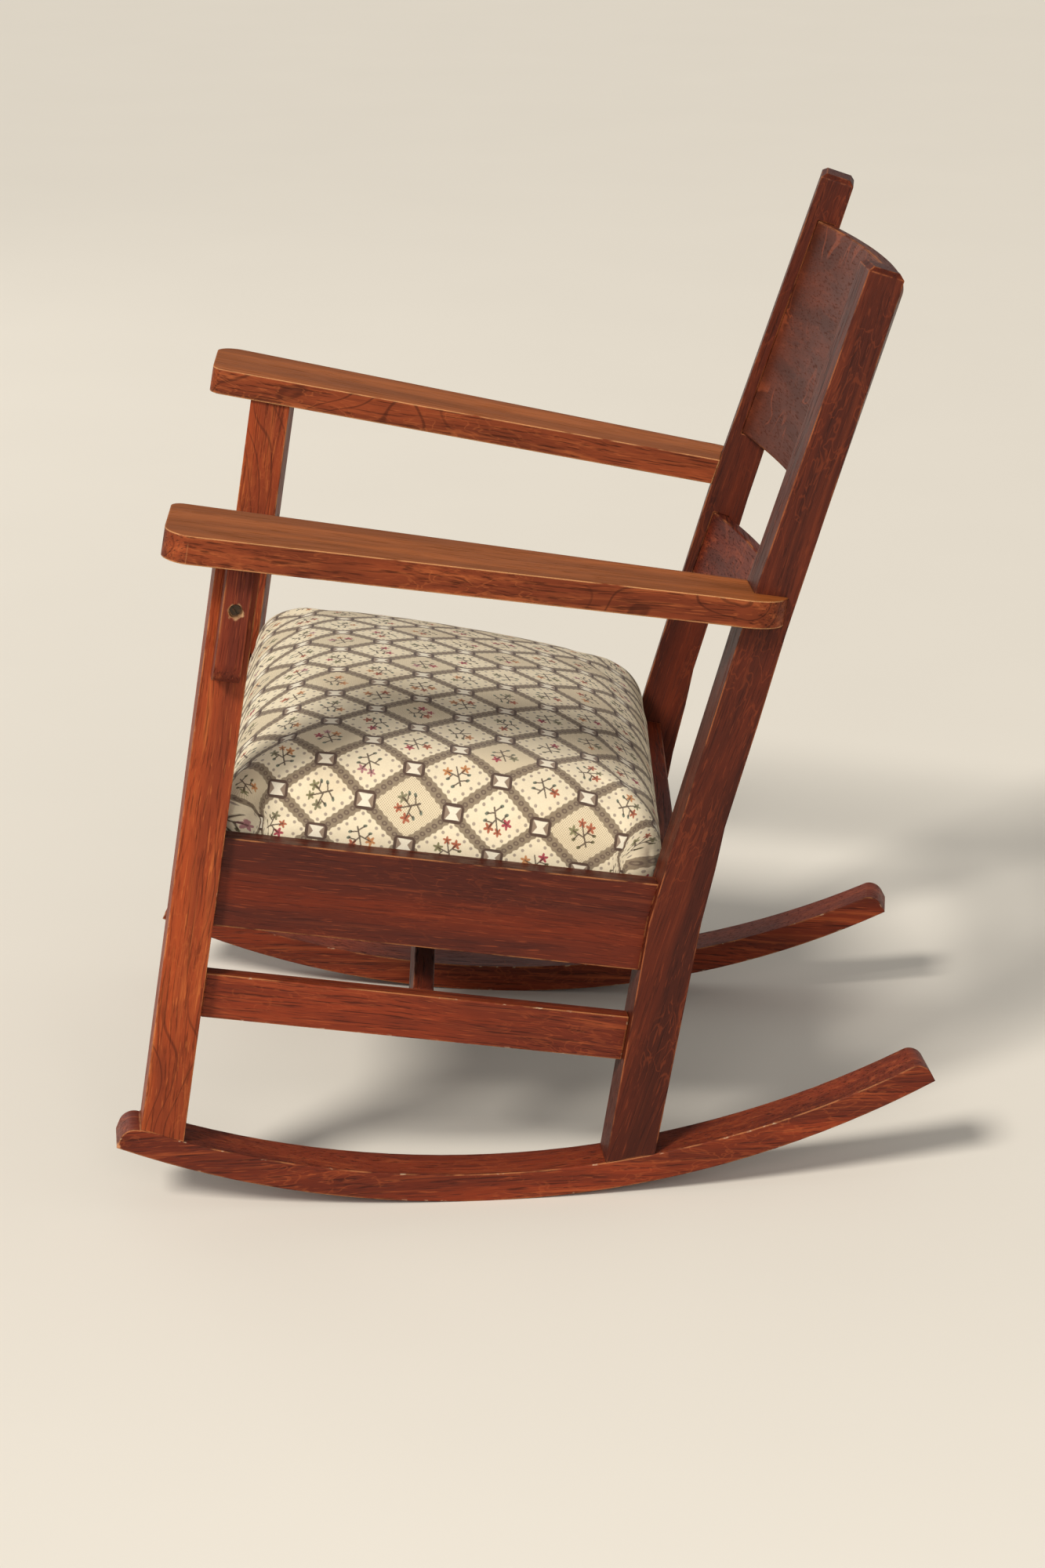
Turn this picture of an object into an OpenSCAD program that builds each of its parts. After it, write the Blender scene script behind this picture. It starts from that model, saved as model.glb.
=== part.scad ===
/* [Overall] */
// Half the width over the side frames, at the middle of the chair's depth
half_width = 305; // [285:1:325]
// Angle by which each side frame turns inward towards the back
splay = 5.75; // [4:0.25:7]
// Pitch of the seat rails and backward lean of the front posts
seat_pitch = 8.6; // [7.5:0.1:9.5]
// Height of the side rails' top line at the middle of the depth
seat_height = 331; // [325:1:340]

/* [Runners] */
// Radius of the rolling edge under the runner
rock_radius = 934; // [900:1:980]
// Radius of the runner's upper edge
runner_top_radius = 947; // [930:1:990]
// Runner height at the point where it touches the floor
runner_h = 27.6; // [24:0.1:32]
// Runner thickness, side to side
runner_t = 49; // [46:1:52]
// Distance of the floor contact in front of the middle
contact_forward = 34; // [24:1:44]
// Reach of the runner in front of the middle
runner_front = 391; // [380:1:400]
// Reach of the runner behind the middle
runner_back = 396; // [380:1:405]
// Radius of the nosing on the runner's ends
runner_nose_r = 15; // [10:1:18]

/* [Posts] */
// Post thickness, side to side
post_t = 44; // [40:1:46]
// Front post width, front to back
front_post_w = 41.4; // [38:0.1:44]
// Front face of the front post at floor level, ahead of the middle
front_post_foot = 380.7; // [376:0.1:384]
// Front face of the rear post at floor level, behind the middle
rear_post_foot = 70.6; // [66:0.1:76]
// Rear post depth at floor level
rear_foot_w = 45.9; // [42:0.1:50]
// Height of the bend on the rear post's front face
rear_bend_z = 341.5; // [335:0.5:350]
// Height of the front top edge of the rear post
rear_top_z = 896; // [880:1:904]
// Backward lean of the rear post above the bend
back_lean = 18.35; // [17.5:0.05:19]
// Rear post depth at its top
rear_top_w = 34.3; // [30:0.1:38]
// Chamfer round the rear post's top
top_chamfer = 4.5; // [3:0.5:6]

/* [Rails] */
// Height of the seat rails
rail_h = 87; // [80:1:90]
// Thickness of the seat rails
rail_t = 22; // [19:1:24]
// Thickness of the back rail
back_rail_t = 18; // [16:1:22]
// Set-back of the seat rails from the posts' outer faces
rail_inset = 10; // [8:1:14]
// Height of the stretchers
stretcher_h = 43.8; // [38:0.1:48]
// Thickness of the side stretchers
stretcher_t = 19; // [16:1:22]
// Set-back of the side stretchers from the posts' outer faces
stretcher_inset = 12; // [9:1:14]
// Drop from the rails' top to the stretchers' top
stretcher_drop = 136; // [130:1:142]
// Thickness of the cross stretcher
cross_t = 20; // [18:1:22]

/* [Back] */
// Tilt of the crest panel and the lower back rail
panel_tilt = 17.5; // [17:0.1:18]
// Thickness of the bent back boards
panel_t = 15; // [12:0.5:16]
// Bow of the crest panel, end to middle
crest_bow = 50; // [40:1:55]
// Height of the crest panel along its slope
crest_h = 236; // [220:1:245]
// Arch of the crest panel's top edge
crest_arch = 7; // [2:1:8]
// Bow of the lower back rail, end to middle
lower_bow = 42; // [35:1:48]
// Height of the lower back rail along its slope
lower_h = 70; // [55:1:80]

/* [Arms] */
// Height of the arm's top plane at the middle of the depth
arm_height = 632.2; // [625:0.2:640]
// Pitch of the arms
arm_pitch = 9.45; // [8.6:0.05:9.8]
// Arm thickness
arm_t = 26.6; // [24:0.1:29]
// Reach of the arm's front end ahead of the middle, along the arm
arm_front = 329; // [326:1:338]
// Reach of the arm's outer lap behind the middle, along the arm
arm_back = 245; // [238:1:250]
// Radius of the arm's front corners
arm_corner_r = 24; // [16:1:28]
// Length of the corbel under the arm
corbel_h = 112; // [100:1:120]
// Width of the corbel, front to back
corbel_w = 25; // [20:0.5:26]
// Projection of the corbel from the post
corbel_out = 36; // [28:1:44]

/* [Seat] */
// Depth of the slip seat's wooden frame
seat_frame_h = 32; // [28:1:36]
// Width of the slip seat frame's members
seat_frame_w = 45; // [40:1:50]
// Height of the springs' tops above the seat rails
spring_top = 38; // [30:1:42]
// Height of the cushion's edge roll above the seat rails
cushion_edge = 61; // [56:1:72]
// Height of the cushion's crown above the seat rails
cushion_crown = 98; // [86:1:104]
// Radius of the cushion's top edge
cushion_round = 30; // [24:1:34]
// Thickness of the woven cover
cover_t = 1.5; // [1:0.1:2]
// Number of springs along each direction
springs_per_row = 3; // [2:1:3]

/* [Hidden] */

// Clearance round tenons, and between parts that must not share volume
fit = 0.2;
// A length past every part, used for cutting
far = 1500;

oak_dark = [0.33, 0.12, 0.07];
oak_red = [0.47, 0.18, 0.09];
oak_arm = [0.55, 0.27, 0.13];
softwood = [0.72, 0.58, 0.40];
steel = [0.62, 0.60, 0.57];

// Seat frame coordinates: along the rail (front to back) and square to it, from the mid point
rail_front_end = -326.9 + front_post_w;
front_post_r = -326.9;
rear_post_r = 122.6;
rear_bend = [126.5, rear_bend_z];
rear_bend_back = [182.2, rear_bend_z + 26];
front_rail_r = front_post_r + rail_inset;
back_rail_r = 130.6;
cross_r = -79;
tenon_len = 18;
tenon_t = 10;
tenon_shoulder = 14;

// Seat
seat_gap = 1;
seat_clear = rail_inset + rail_t + seat_gap;
seat_r0 = front_rail_r + rail_t + seat_gap;
seat_r1 = back_rail_r - seat_gap;
frame_top = -8;
frame_bottom = frame_top - seat_frame_h;
cleat_h = 20;
cleat_w = 18;
web_t = 1.6;
web_w = 50;
notch_gap = 2;

// Maps a side frame's own plane to the left side of the chair: x across from the outer face,
// y along the frame, z up
module side_place() translate([half_width, 0, 0]) rotate([0, 0, splay]) children();

// Tilts into the seat's plane: y along the rails, z square to them, zero on the rails' top
module seat_place() translate([0, 0, seat_height]) rotate([-seat_pitch, 0, 0]) children();

// Tilts into the arms' plane, zero on the arms' top
module arm_place() translate([0, 0, arm_height]) rotate([-arm_pitch, 0, 0]) children();

// Tilts into the plane of the back boards
module back_place() translate([0, 33.4, 0]) rotate([-panel_tilt, 0, 0]) children();

// A board in a side frame: its outline is drawn along and up, and it lies from inset inward
module board(t, inset = 0) {
    translate([-inset - t, 0, 0]) rotate([90, 0, 90]) linear_extrude(t) children();
}

// Turns an outline drawn along and square to the rails into a side frame's outline
module on_rail() translate([0, seat_height]) rotate(-seat_pitch) children();

// A bar across the chair with its outline drawn front to back and up
module cross_bar() rotate([90, 0, 90]) linear_extrude(far, center = true) children();

// Everything further out than depth inside the side frames' outer faces, on both sides
module outside(depth) {
    for (side = [0, 1]) mirror([side, 0, 0])
        side_place() translate([-depth, -far / 2, -far / 2]) cube([far, far, 2 * far]);
}

// Left part mirrored to the right
module right() mirror([1, 0, 0]) children();

// ---- runners ----

module runner_top_disc(r = runner_top_radius) {
    translate([-contact_forward, runner_h + runner_top_radius]) circle(r, $fn = 360);
}

// The end of a runner at a given reach from the floor contact, in the runner's outline
module runner_end(reach) {
    turn = asin(reach / rock_radius);
    end_h = 24;
    translate([0, rock_radius]) rotate(turn) translate([0, -rock_radius]) {
        translate([0, -far / 2]) square(far);
        difference() {
            translate([-runner_nose_r, end_h - runner_nose_r]) square(2 * runner_nose_r);
            translate([-runner_nose_r, end_h - runner_nose_r]) circle(runner_nose_r, $fn = 64);
        }
    }
}

module runner_outline() {
    difference() {
        translate([-contact_forward, rock_radius]) circle(rock_radius, $fn = 360);
        runner_top_disc();
        translate([-contact_forward, 0]) runner_end(runner_back + contact_forward);
        translate([-contact_forward, 0]) mirror([1, 0]) runner_end(runner_front - contact_forward);
        translate([-far, 200]) square([2 * far, 2 * far]);
    }
}

front_tenon_z = 76;
rear_tenon_z = 17;
foot_tenon = 24;
foot_screw_r = 2.5;
foot_screw_head_r = 5;

// The tenons under the posts, which enter the runner
module foot_tenons(g = 0) {
    side_place() board(foot_tenon + 2 * g, (post_t - foot_tenon) / 2 - g) {
        front_post_place() translate([(front_post_w - foot_tenon) / 2 - g, front_tenon_z - g])
            square([foot_tenon + 2 * g, 60]);
        rear_foot_place() translate([(rear_foot_w - foot_tenon) / 2 - g, rear_tenon_z - g])
            square([foot_tenon + 2 * g, 60]);
    }
}

// Screws driven up through the runner into the posts
module foot_screws(g = 0) {
    side_place() translate([-post_t / 2, 0, 0]) {
        foot_screw_place(-front_post_foot, seat_pitch, front_post_w, front_tenon_z) foot_screw(g);
        foot_screw_place(rear_post_foot, rear_foot_lean(), rear_foot_w, rear_tenon_z) foot_screw(g);
    }
}

module foot_screw_place(foot, lean, w, z0) {
    translate([0, foot, 0]) rotate([-lean, 0, 0]) translate([0, w / 2, z0]) children();
}

// Countersunk head and shank; the head lies inside the runner below the tenon
module foot_screw(g = 0) {
    translate([0, 0, -4]) cylinder(h = 50 + g, r = foot_screw_r + g, $fn = 24);
    translate([0, 0, -6]) cylinder(h = 3 + g, r = foot_screw_head_r + g, $fn = 24);
}

// The open access hole under a screw's head
module foot_screw_hole() {
    translate([0, 0, -80]) cylinder(h = 74.1, r = foot_screw_head_r + fit, $fn = 24);
}

module runner() {
    color(oak_red) difference() {
        side_place() board(runner_t) runner_outline();
        foot_tenons(fit);
        foot_screws(fit);
        side_place() translate([-post_t / 2, 0, 0]) {
            foot_screw_place(-front_post_foot, seat_pitch, front_post_w, front_tenon_z)
                foot_screw_hole();
            foot_screw_place(rear_post_foot, rear_foot_lean(), rear_foot_w, rear_tenon_z)
                foot_screw_hole();
        }
    }
}

module left_runner() runner();
module right_runner() right() runner();

// ---- posts ----

module front_post_place() translate([-front_post_foot, 0]) rotate(-seat_pitch) children();
function rear_foot_lean() = atan((rear_bend[0] - rear_post_foot) / rear_bend[1]);
module rear_foot_place() translate([rear_post_foot, 0]) rotate(-rear_foot_lean()) children();

module front_post_outline() {
    intersection() {
        front_post_place() square([front_post_w, 760]);
        runner_top_disc(runner_top_radius - 0.1);
    }
}

// Front and back lines of the rear post, with the bend between foot and back
rear_top_front = [rear_bend[0] + (rear_top_z - rear_bend[1]) * tan(back_lean), rear_top_z];
rear_axis = [sin(back_lean - 0.5), cos(back_lean - 0.5)];
rear_across = [rear_axis[1], -rear_axis[0]];

// The sawn bend: both edges leave their straight legs here and lie this far behind them
bend_starts = 277;
bend_ends = 557;
front_hollow = 7.6;
back_swell = 3.8;
top_back = rear_top_front + rear_top_w * rear_across;
function leg(v, low, mid, high) = v < mid[1]
    ? low + (mid - low) * (v - low[1]) / (mid[1] - low[1])
    : mid + (high - mid) * (v - mid[1]) / (high[1] - mid[1]);
function rear_line(v, back) = leg(v, [rear_post_foot, 0], rear_bend, rear_top_front) + [back, 0];
function rear_back_line(v, back) =
    leg(v, [rear_post_foot + rear_foot_w, 0], rear_bend_back, top_back) + [back, 0];

module rear_post_outline() {
    c = top_chamfer;
    intersection() {
        polygon([
            [rear_post_foot, 0],
            rear_line(bend_starts, 0),
            rear_line(347, front_hollow),
            rear_line(bend_ends, 0),
            rear_top_front,
            rear_top_front + c * rear_axis + c * rear_across,
            top_back + c * rear_axis - c * rear_across,
            top_back,
            rear_back_line(bend_ends, 0),
            rear_back_line(470, back_swell * 0.65),
            rear_back_line(370, back_swell),
            rear_back_line(330, back_swell * 0.85),
            rear_back_line(bend_starts, 0),
            [rear_post_foot + rear_foot_w, 0]
        ]);
        runner_top_disc(runner_top_radius - 0.1);
    }
}

// The same post seen from the front, which carries the chamfers on its side faces
module rear_post_top_outline() {
    c = top_chamfer;
    polygon([[-post_t, -far], [0, -far], [0, 0], [-c, c], [c - post_t, c], [-post_t, 0]]);
}

module rear_post_body() {
    intersection() {
        side_place() board(post_t) rear_post_outline();
        side_place() translate([0, rear_top_front[0], rear_top_front[1]])
            rotate([-back_lean + 0.5, 0, 0]) rotate([90, 0, 0])
            linear_extrude(far, center = true) rear_post_top_outline();
    }
}

module front_post() {
    color(oak_red) difference() {
        union() {
            difference() {
                side_place() board(post_t) front_post_outline();
                above_arm_underside();
            }
            intersection() {
                foot_tenons();
                side_place() board(post_t) front_post_place() square([front_post_w, 200]);
            }
            arm_tenon();
        }
        side_member_tenons(fit);
        front_rail_tenons(fit);
        foot_screws(fit);
        corbel_screw(fit);
    }
}

module left_front_post() front_post();
module right_front_post() right() front_post();

module rear_post() {
    color(oak_dark) difference() {
        union() {
            rear_post_body();
            intersection() {
                foot_tenons();
                side_place() board(post_t) rear_foot_place() square([rear_foot_w, 200]);
            }
        }
        side_member_tenons(fit);
        back_rail_tenons(fit);
        difference() {
            union() {
                crest_board(fit);
                lower_board(fit);
            }
            outside(post_t - panel_housing - fit);
        }
        foot_screws(fit);
        arm_dowel(fit);
    }
}

module left_rear_post() rear_post();
module right_rear_post() right() rear_post();

// ---- side rails and stretchers ----

// A side member's outline between the posts, in seat coordinates
module side_member_outline(top, h) {
    difference() {
        on_rail() translate([rail_front_end, top - h]) square([rear_post_r - rail_front_end + 30, h]);
        rear_post_outline();
    }
}

// A side member's tenons, which run on into both posts
module side_member_tenon(top, h, g) {
    on_rail() translate([rail_front_end - tenon_len - g, top - h + tenon_shoulder / 2 - g])
        square([rear_post_r - rail_front_end + 2 * (tenon_len + g), h - tenon_shoulder + 2 * g]);
}

module side_member_tenons(g = 0) {
    side_place() {
        board(tenon_t + 2 * g, rail_inset + (rail_t - tenon_t) / 2 - g)
            side_member_tenon(0, rail_h, g);
        board(tenon_t + 2 * g, stretcher_inset + (stretcher_t - tenon_t) / 2 - g)
            side_member_tenon(-stretcher_drop, stretcher_h, g);
    }
}

module side_rail() {
    color(oak_dark) difference() {
        side_place() {
            board(rail_t, rail_inset) side_member_outline(0, rail_h);
            board(tenon_t, rail_inset + (rail_t - tenon_t) / 2) side_member_tenon(0, rail_h, 0);
        }
        cleat_screw_set(fit);
    }
}

module left_side_rail() side_rail();
module right_side_rail() right() side_rail();

module side_stretcher() {
    color(oak_red) difference() {
        side_place() {
            board(stretcher_t, stretcher_inset)
                side_member_outline(-stretcher_drop, stretcher_h);
            board(tenon_t, stretcher_inset + (stretcher_t - tenon_t) / 2)
                side_member_tenon(-stretcher_drop, stretcher_h, 0);
        }
        cross_stretcher_tenons(fit);
    }
}

module left_side_stretcher() side_stretcher();
module right_side_stretcher() right() side_stretcher();

// ---- front rail, back rail and cross stretcher ----

module seat_bar(r0, t, top, h) {
    seat_place() cross_bar() translate([r0, top - h]) square([t, h]);
}

// A cross rail's tenons, seated one tenon length deep in the posts
module cross_rail_tenons(r0, thick, g) {
    inner = (thick - tenon_t) / 2;
    difference() {
        seat_bar(r0 + inner - g, tenon_t + 2 * g, g - tenon_shoulder, rail_h - 2 * tenon_shoulder + 2 * g);
        outside(post_t - tenon_len / 2 - g);
    }
}

module front_rail_tenons(g = 0) cross_rail_tenons(front_rail_r, rail_t, g);
module back_rail_tenons(g = 0) cross_rail_tenons(back_rail_r, back_rail_t, g);

module front_rail() {
    color(oak_red) difference() {
        union() {
            difference() {
                seat_bar(front_rail_r, rail_t, 0, rail_h);
                outside(post_t);
            }
            front_rail_tenons();
        }
        block_screw_set(fit);
        right() block_screw_set(fit);
    }
}

module back_rail() {
    color(oak_dark) difference() {
        union() {
            difference() {
                seat_bar(back_rail_r, back_rail_t, 0, rail_h);
                outside(post_t);
            }
            back_rail_tenons();
        }
        block_screw_set(fit);
        right() block_screw_set(fit);
    }
}

cross_depth = stretcher_inset + stretcher_t;

module cross_stretcher_tenons(g = 0) {
    difference() {
        seat_bar(cross_r - tenon_t / 2 - g, tenon_t + 2 * g,
            g - stretcher_drop - tenon_shoulder / 2, stretcher_h - tenon_shoulder + 2 * g);
        outside(cross_depth - tenon_t - g);
    }
}

module cross_stretcher() {
    color(oak_dark) union() {
        difference() {
            seat_bar(cross_r - cross_t / 2, cross_t, -stretcher_drop, stretcher_h);
            outside(cross_depth);
        }
        cross_stretcher_tenons();
    }
}

// ---- back boards ----

panel_housing = 14;
crest_base = 656.4;
lower_base = 567.3 - lower_h;
panel_half = 232;

function bow_radius(bow) = (panel_half * panel_half + bow * bow) / (2 * bow);

// An upright bent board, hollow side to the front, its ends on the line y = 0
module bent_board(bow, base, h, arch, g) {
    radius = bow_radius(bow);
    arch_r = (panel_half * panel_half + arch * arch) / (2 * arch);
    intersection() {
        translate([0, bow - radius, base - 2 * arch]) difference() {
            cylinder(h = h + 4 * arch, r = radius + panel_t + g, $fn = 360);
            translate([0, 0, -1]) cylinder(h = h + 4 * arch + 2, r = radius - g, $fn = 360);
        }
        rotate([90, 0, 0]) linear_extrude(far, center = true) intersection() {
            translate([-far / 4, base - g]) square([far / 2, h + arch + 2 * g]);
            translate([0, base + h + arch - arch_r + g]) circle(arch_r, $fn = 3600);
        }
        translate([-far / 4, -far / 10, 0]) cube([far / 2, far / 2, far]);
    }
}

module crest_board(g = 0) back_place() bent_board(crest_bow, crest_base, crest_h, crest_arch, g);
module lower_board(g = 0) back_place() bent_board(lower_bow, lower_base, lower_h, 4, g);

module crest_panel() {
    color(oak_dark) difference() {
        crest_board();
        outside(post_t - panel_housing);
    }
}

module lower_back_rail() {
    color(oak_red) difference() {
        lower_board();
        outside(post_t - panel_housing);
    }
}

// ---- arms and corbels ----

// Points of an arc
function arc(centre, r, from, to, steps) =
    [for (i = [0 : steps]) centre + r * [cos(from + (to - from) * i / steps),
        sin(from + (to - from) * i / steps)]];

// The arm's edges drift inward towards the back
function arm_inner(v) = 258.2 - 0.0899 * v;
function arm_outer(v) = 346.7 - 0.1589 * v;
lap_curve = 52;
lap_end = 279;

module arm_outline() {
    r = arm_corner_r;
    x0 = arm_inner(-arm_front);
    x1 = arm_outer(-arm_front);
    bend_x = arm_outer(arm_back - lap_curve);
    curve_w = bend_x - lap_end;
    polygon(concat(
        arc([x0 + 14, 14 - arm_front], 14, 180, 270, 6),
        arc([x1 - r, r - arm_front], r, 270, 360, 10),
        [for (i = [0 : 10]) [lap_end + curve_w * cos(9 * i) - 2,
            arm_back - lap_curve + lap_curve * sin(9 * i)]],
        [[arm_inner(arm_back) - 10, arm_back], [arm_inner(arm_back), arm_back]]
    ));
}

module above_arm_underside() {
    arm_place() translate([-far / 2, -far / 2, -arm_t]) cube(far);
}

module arm_tenon(g = 0) {
    tenon_up = 14;
    difference() {
        side_place() board(foot_tenon + 2 * g, (post_t - foot_tenon) / 2 - g)
            front_post_place() translate([(front_post_w - foot_tenon) / 2 - g, 600])
            square([foot_tenon + 2 * g, 160]);
        arm_place() translate([-far / 2, -far / 2, tenon_up - arm_t + g]) cube(far);
    }
}

// The rear post grown inward, behind which the arm has no wood
module arm_notch() {
    side_place() translate([fit, 0, 0]) board(post_t * 3) union() {
        rear_post_outline();
        translate([40, 0]) rear_post_outline();
        translate([-fit, 0]) rear_post_outline();
    }
}

module arm() {
    color(oak_arm) difference() {
        arm_place() translate([0, 0, -arm_t]) linear_extrude(arm_t) arm_outline();
        arm_notch();
        arm_tenon(fit);
        arm_dowel(fit);
    }
}

module left_arm() arm();
module right_arm() right() arm();

// A dowel between the arm's butt end and the rear post
module arm_dowel(g = 0) {
    arm_place() translate([262, 180 - g, -arm_t / 2]) rotate([-90, 0, 0])
        cylinder(h = 52 + 2 * g, r = 5 + g, $fn = 32);
}

module arm_dowels() {
    color(softwood) {
        arm_dowel();
        right() arm_dowel();
    }
}

corbel_top = 654;
corbel_foot = corbel_top - corbel_h;
corbel_round = 22;
screw_bore_r = 6.5;
screw_z = 614;

module corbel_outline() {
    difference() {
        translate([0, corbel_foot]) square([corbel_out, 200]);
        translate([corbel_out - corbel_round, corbel_foot]) difference() {
            square(corbel_round);
            translate([0, corbel_round]) circle(corbel_round, $fn = 64);
        }
    }
}

// Post coordinates: x out of the post's outer face, y across its width, z up its length
module post_place() side_place() translate([0, -front_post_foot, 0]) rotate([-seat_pitch, 0, 0]) children();

module corbel() {
    color(oak_red) difference() {
        post_place() translate([0, (front_post_w + corbel_w) / 2, 0]) rotate([90, 0, 0])
            linear_extrude(corbel_w) corbel_outline();
        above_arm_underside();
        corbel_screw(fit);
        post_place() translate([corbel_out - 7, front_post_w / 2, screw_z]) rotate([0, 90, 0])
            cylinder(h = 20, r = screw_bore_r, $fn = 32);
    }
}

module left_corbel() corbel();
module right_corbel() right() corbel();

// A slotted round-head screw, its head at the bottom of the corbel's counterbore
module corbel_screw(g = 0) {
    post_place() translate([0, front_post_w / 2, screw_z]) rotate([0, 90, 0]) difference() {
        union() {
            translate([0, 0, -24 - g]) cylinder(h = corbel_out + 17.1 + g, r = 2.6 + g, $fn = 24);
            translate([0, 0, corbel_out - 7]) cylinder(h = 2.6 + g, r = 5 + g, $fn = 32);
        }
        if (g == 0) rotate([0, 0, 40]) translate([-6, -0.8, corbel_out - 5.8]) cube([12, 1.6, 3]);
    }
}

module corbel_screws() {
    color(steel) {
        corbel_screw();
        right() corbel_screw();
    }
}

module runner_screws() {
    color(steel) {
        foot_screws();
        right() foot_screws();
    }
}

// ---- corner blocks, cleats and their screws ----

block_h = 45;
block_leg = 62;
block_top = frame_bottom - 2;

// A triangular block in the corner between a cross rail and the left side rail
module corner_block(x_cross, x_side, r_cross, toward) {
    difference() {
        seat_place() translate([0, 0, block_top - block_h]) linear_extrude(block_h) polygon([
            [x_cross, r_cross],
            [320, r_cross],
            [320, r_cross + toward * block_leg],
            [x_side, r_cross + toward * block_leg]
        ]);
        outside(rail_inset + rail_t + fit);
        side_place() board(post_t + fit) {
            front_post_place() translate([0, 0]) square([front_post_w + fit, 760]);
            offset_rear_post();
        }
    }
}

module offset_rear_post() translate([-fit, 0]) rear_post_outline();

module front_corner_block() difference() {
    corner_block(228, 284, front_rail_r + rail_t + fit, 1);
    block_screw_set(fit);
}

module rear_corner_block() difference() {
    corner_block(184, 246, back_rail_r - fit, -1);
    block_screw_set(fit);
}

module front_corner_blocks() {
    color(softwood) {
        front_corner_block();
        right() front_corner_block();
    }
}

module rear_corner_blocks() {
    color(softwood) {
        rear_corner_block();
        right() rear_corner_block();
    }
}

// A wood screw lying along +z from its head
module wood_screw(len, g = 0) {
    cylinder(h = len + g, r = 2.2 + g, $fn = 24);
    cylinder(h = 2 + g, r = 4.2 + g, $fn = 24);
}

// Screws through the corner blocks into the cross rails, left half
module block_screw_set(g = 0) {
    for (corner = [[250, front_rail_r + rail_t, 1], [208, back_rail_r, -1]])
        seat_place() translate([corner[0], corner[1] + corner[2] * 24, block_top - block_h / 2])
            rotate([corner[2] * 90, 0, 0]) wood_screw(36, g);
}

module corner_block_screws() {
    color(steel) {
        block_screw_set();
        right() block_screw_set();
    }
}

cleat_r0 = -218;
cleat_r1 = 62;

module seat_cleat() {
    color(softwood) difference() {
        side_place() board(cleat_w, rail_inset + rail_t) on_rail()
            translate([cleat_r0, frame_bottom - cleat_h - web_t - 1.4])
            square([cleat_r1 - cleat_r0, cleat_h]);
        cleat_screw_set(fit);
    }
}

module left_seat_cleat() seat_cleat();
module right_seat_cleat() right() seat_cleat();

module cleat_screw_set(g = 0) {
    side_place() for (r = [cleat_r0 + 30 : 110 : cleat_r1 - 20])
        translate([-(rail_inset + rail_t + cleat_w), 0, 0])
        translate([0, r * cos(seat_pitch) - 9, seat_height - r * sin(seat_pitch) - 53])
        rotate([0, 90, 0]) wood_screw(32, g);
}

module cleat_screws() {
    color(steel) {
        cleat_screw_set();
        right() cleat_screw_set();
    }
}

// ---- slip seat ----

// The seat opening less a margin, in plan: wider at the front than at the back
function seat_half(r, margin) =
    half_width - (seat_clear + margin) / cos(splay) - r * tan(splay) * cos(seat_pitch);

module seat_plan(margin = 0) {
    front = seat_r0 + margin;
    back = seat_r1 - margin;
    polygon([for (p = [[1, front], [1, back], [-1, back], [-1, front]])
        [p[0] * seat_half(p[1], margin), p[1]]]);
}

// Room for the four posts at the corners of the seat
module post_notches(extra = 0) {
    n = notch_gap + extra;
    for (side = [0, 1]) mirror([side, 0, 0]) side_place() {
        board(post_t + n) on_rail() {
            translate([front_post_r - 40, -200]) square([front_post_w + 40 + n, 500]);
            translate([rear_post_r - n, -200]) square([200, 500]);
        }
    }
}

frame_corner = cover_t + 0.5;

module seat_frame_solid() {
    difference() {
        seat_place() translate([0, 0, frame_bottom]) linear_extrude(seat_frame_h) difference() {
            seat_plan(frame_corner);
            seat_plan(frame_corner + seat_frame_w);
        }
        post_notches(frame_corner);
    }
}

// Front and back members run through between the side members
module seat_frame_cut(r0, r1) {
    seat_place() translate([-far / 2, r0, -far / 10]) cube([far, r1 - r0, far / 5]);
}

frame_split0 = seat_r0 + frame_corner + seat_frame_w;
frame_split1 = seat_r1 - frame_corner - seat_frame_w;

module seat_frame_side() {
    color(softwood) intersection() {
        seat_frame_solid();
        seat_frame_cut(frame_split0 + fit / 2, frame_split1 - fit / 2);
        translate([0, -far / 2, 0]) cube(far);
    }
}

module seat_frame_left() seat_frame_side();
module seat_frame_right() right() seat_frame_side();

module seat_frame_front() {
    color(softwood) intersection() {
        seat_frame_solid();
        seat_frame_cut(-far / 2, frame_split0 - fit / 2);
    }
}

module seat_frame_back() {
    color(softwood) intersection() {
        seat_frame_solid();
        seat_frame_cut(frame_split1 + fit / 2, far / 2);
    }
}

web_rows = 4;
web_pitch_x = 112;
web_pitch_r = 98;
web_mid_r = (seat_r0 + seat_r1) / 2;
web_len_r = seat_r1 - seat_r0 - 36;

// Straps lie under the seat frame, the crosswise ones under the lengthwise ones
module webbing_lengthwise() {
    color([0.62, 0.53, 0.38]) seat_place() for (i = [0 : web_rows - 1])
        translate([(i - (web_rows - 1) / 2) * web_pitch_x - web_w / 2, web_mid_r - web_len_r / 2,
            frame_bottom - web_t / 2 - 0.05]) cube([web_w, web_len_r, web_t / 2]);
}

module webbing_crosswise() {
    color([0.62, 0.53, 0.38]) seat_place() for (i = [0 : web_rows - 1]) {
        r = web_mid_r + (i - (web_rows - 1) / 2) * web_pitch_r;
        half = seat_half(r + web_w / 2, frame_corner) - 20;
        translate([-half, r - web_w / 2, frame_bottom - web_t - 0.1])
            cube([2 * half, web_w, web_t / 2]);
    }
}

spring_turns = 4;
spring_steps = 10;
spring_wire = 3.6;
spring_foot = frame_bottom + 0.1;
spring_waist = 22;
spring_rim = 34;

// Centre line of an hourglass coil spring, narrow at the waist
function spring_point(t) =
    let (h = spring_top - spring_foot - spring_wire, z = t * h,
        r = spring_waist + (spring_rim - spring_waist) * pow(abs(2 * t - 1), 1.5),
        a = 360 * spring_turns * t)
    [r * cos(a), r * sin(a), spring_foot + spring_wire / 2 + z];

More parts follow.
